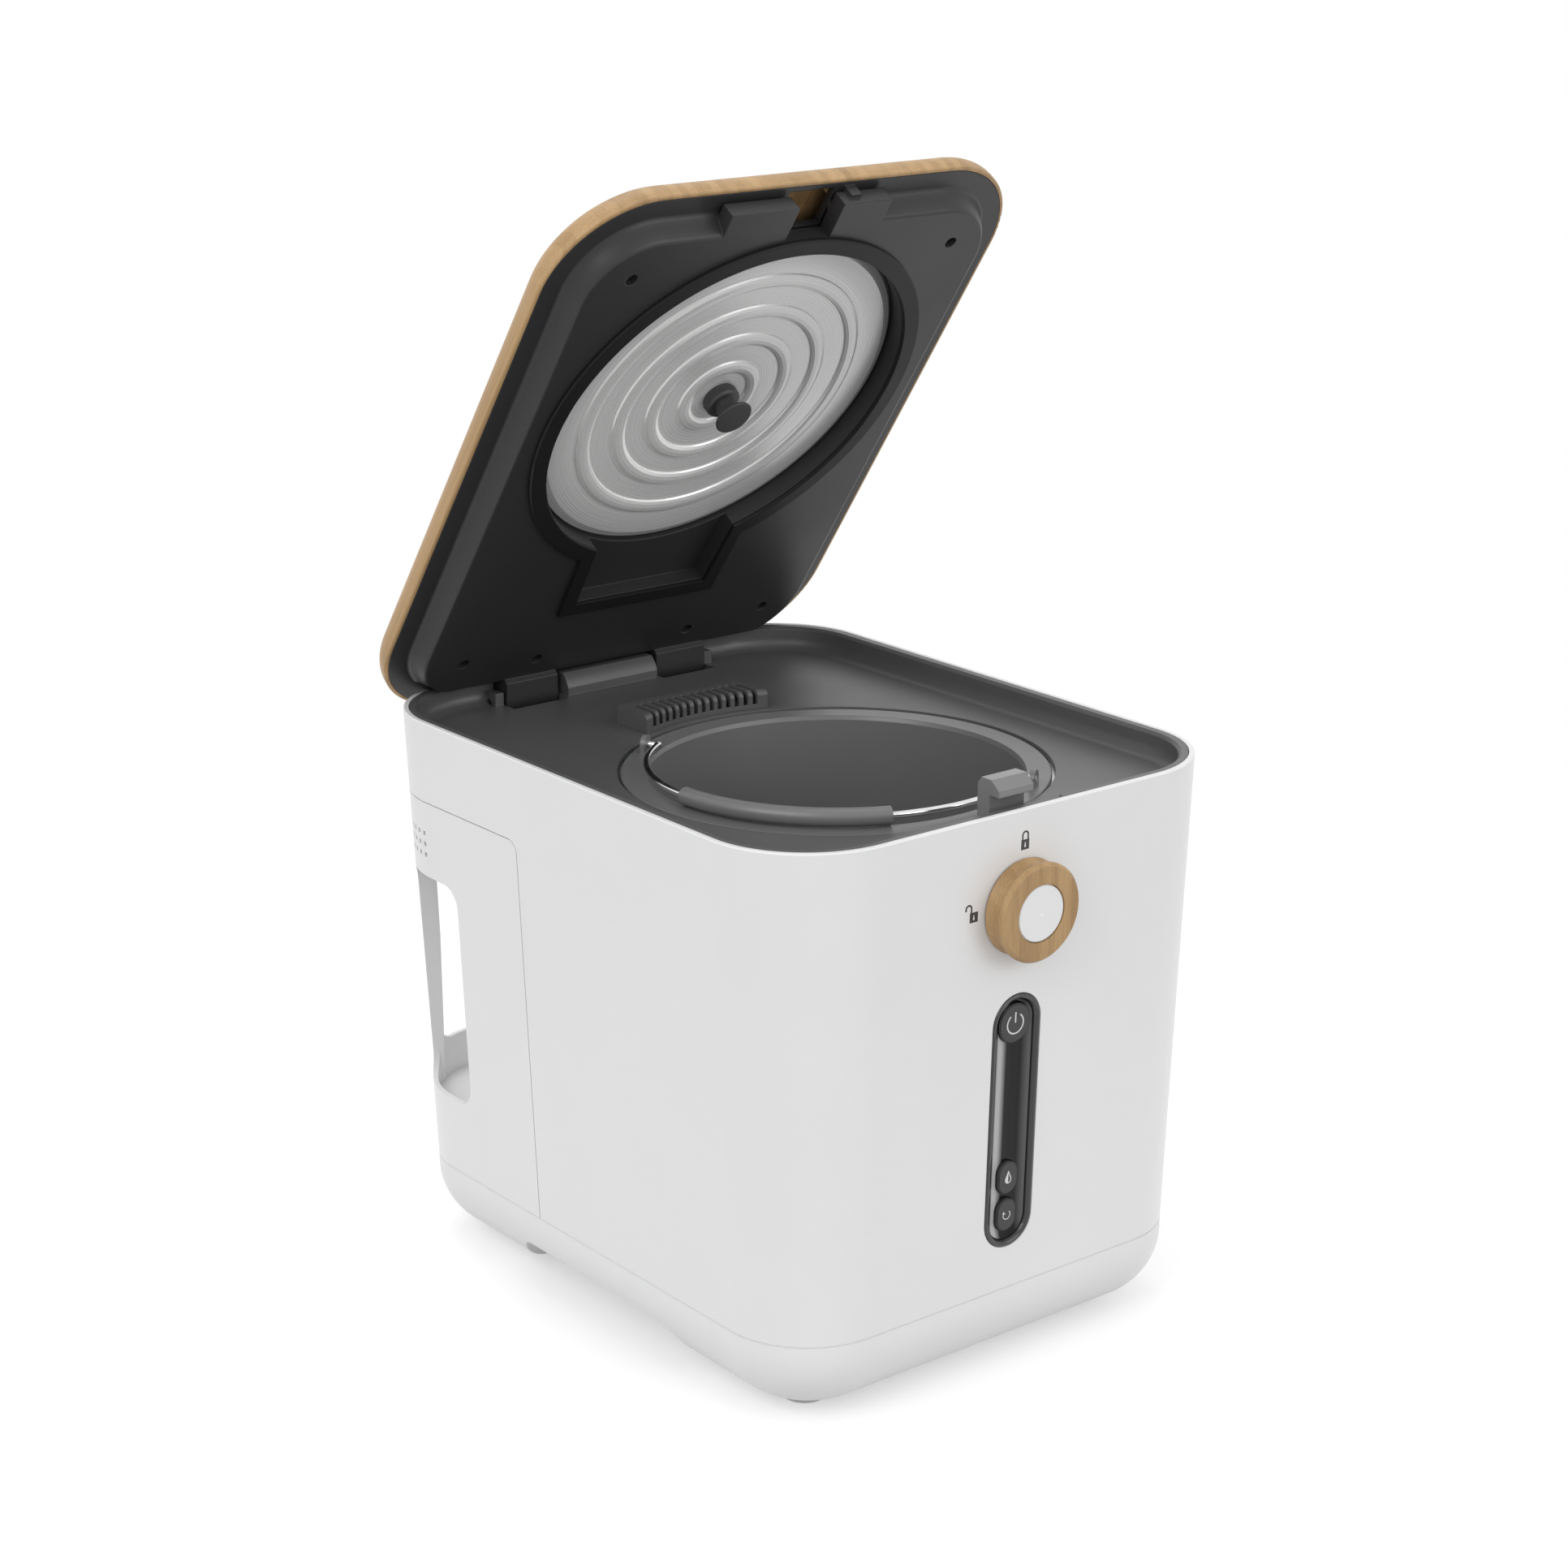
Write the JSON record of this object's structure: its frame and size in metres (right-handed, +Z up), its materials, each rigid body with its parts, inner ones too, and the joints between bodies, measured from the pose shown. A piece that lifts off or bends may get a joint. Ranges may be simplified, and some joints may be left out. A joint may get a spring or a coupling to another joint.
{
  "type": "electric food waste composter",
  "caption": "Countertop electric composter with a hinged bamboo lid, lift-out stirring bucket, steam plate, lock knob and a front key panel.",
  "frame": {"origin": "centre of the bounding box at worktop level, with the lid open as in the picture", "axes": "+Z up, the front with the knob and keys faces -Y, +X to the right along the front"},
  "size_m": [0.27, 0.3627, 0.5427],
  "materials": {
    "white_shell": "satin",
    "base_white": "satin",
    "foot_rubber": "soft matte",
    "black_deck": "fine matte",
    "bamboo": "oiled bamboo",
    "silicone": "soft matte",
    "steel": "brushed",
    "bucket_coat": "smooth non-stick coat",
    "bright_wire": "polished",
    "blade_metal": "satin",
    "well_metal": "satin",
    "frame_metal": "brushed",
    "dark_screw": "brushed",
    "bearing_bronze": "plain bronze",
    "pulley_plastic": "fine matte",
    "belt_rubber": "soft matte",
    "cam_plastic": "fine matte",
    "panel_rim": "fine matte",
    "panel_gloss": "satin",
    "key_plastic": "fine matte",
    "board_green": "fine matte",
    "inner_plastic": "fine matte",
    "carbon": "fine matte",
    "cap_white": "satin"
  },
  "bodies": {
    "casing": {"main_casing": "white_shell", "base": "base_white", "feet": "foot_rubber", "rear_cover": "white_shell", "deck": "black_deck", "exhaust_grille": "black_deck", "hinge_pins": "frame_metal", "bucket_well": "well_metal", "well_posts": "frame_metal", "heating_element": "frame_metal", "chassis": "frame_metal", "shaft_bearing": "bearing_bronze", "drive_belt": "belt_rubber", "motor": "frame_metal", "latch_guide": "inner_plastic", "knob_bush": "cam_plastic", "panel_bezel": "panel_rim", "panel_window": "panel_gloss", "control_board": "board_green", "lid_switch": "inner_plastic", "filter_case": "inner_plastic", "carbon_filter": "carbon", "exhaust_duct": "inner_plastic", "fan_frame": "inner_plastic", "power_inlet": "inner_plastic", "cover_screws": "frame_metal"},
    "lid": {"lid_top": "bamboo", "lid_liner": "black_deck", "lid_seal": "silicone", "lid_screws": "dark_screw"},
    "steam_plate": {"steam_plate": "steel", "plate_pull_knob": "silicone"},
    "bucket": {"bucket": "bucket_coat"},
    "bail": {"bail_wire": "bright_wire", "bail_grip": "silicone"},
    "stirrer": {"stirring_blade": "blade_metal"},
    "drive": {"drive_shaft": "frame_metal", "drive_pulley": "pulley_plastic"},
    "motor_spindle": {"motor_pulley": "frame_metal"},
    "fan": {"fan_impeller": "inner_plastic"},
    "lock_knob": {"knob_ring": "bamboo", "knob_cap": "cap_white", "knob_shaft": "frame_metal", "latch_cam": "cam_plastic"},
    "latch": {"latch_hook": "black_deck"},
    "power_key": {"power_button": "key_plastic"},
    "drop_key": {"drop_button": "key_plastic"},
    "cycle_key": {"cycle_button": "key_plastic"}
  },
  "joints": [
    {"name": "lid_hinge", "type": "hinge", "parent": "casing", "child": "lid", "pos_m": [0, 0.15793, 0.2664], "axis": [-1, 0, 0], "range_deg": [-54.3, 0]},
    {"name": "plate_pull", "type": "slide", "parent": "lid", "child": "steam_plate", "axis": [0, -0.8121, -0.5835], "range_m": [0, 0.025]},
    {"name": "bucket_lift", "type": "slide", "parent": "casing", "child": "bucket", "axis": [0, 0, 1], "range_m": [0, 0.095]},
    {"name": "bail_swing", "type": "hinge", "parent": "bucket", "child": "bail", "pos_m": [0, -0.03627, 0.269], "axis": [-0.5563, 0.831, 0], "range_deg": [0, 176]},
    {"name": "stirrer_spin", "type": "hinge", "parent": "bucket", "child": "stirrer", "pos_m": [0, -0.03627, 0.12], "axis": [0, 0, 1], "continuous": true},
    {"name": "drive_spin", "type": "hinge", "parent": "casing", "child": "drive", "pos_m": [0, -0.03627, 0.08], "axis": [0, 0, 1], "continuous": true},
    {"name": "motor_spin", "type": "hinge", "parent": "casing", "child": "motor_spindle", "pos_m": [0, 0.09353, 0.06], "axis": [0, 0, 1], "continuous": true},
    {"name": "fan_spin", "type": "hinge", "parent": "casing", "child": "fan", "pos_m": [0, 0.13353, 0.203], "axis": [0, 1, 0], "continuous": true},
    {"name": "knob_turn", "type": "hinge", "parent": "casing", "child": "lock_knob", "pos_m": [0, -0.16794, 0.233], "axis": [0, 0.9992, 0.039], "range_deg": [0, 90]},
    {"name": "latch_slide", "type": "slide", "parent": "casing", "child": "latch", "axis": [0, -1, 0], "range_m": [0, 0.0028]},
    {"name": "power_press", "type": "slide", "parent": "casing", "child": "power_key", "axis": [0, 0.9992, 0.039], "range_m": [0, 0.001], "stiffness_N_per_m": 800, "springref_m": -0.001},
    {"name": "drop_press", "type": "slide", "parent": "casing", "child": "drop_key", "axis": [0, 0.9992, 0.039], "range_m": [0, 0.001], "stiffness_N_per_m": 800, "springref_m": -0.001},
    {"name": "cycle_press", "type": "slide", "parent": "casing", "child": "cycle_key", "axis": [0, 0.9992, 0.039], "range_m": [0, 0.001], "stiffness_N_per_m": 800, "springref_m": -0.001}
  ],
  "couplings": [
    {"joint": "latch_slide", "follows": "knob_turn", "m_per_rad": 0.0017825},
    {"joint": "stirrer_spin", "follows": "drive_spin", "ratio": 1},
    {"joint": "motor_spin", "follows": "drive_spin", "ratio": 4.0909}
  ]
}
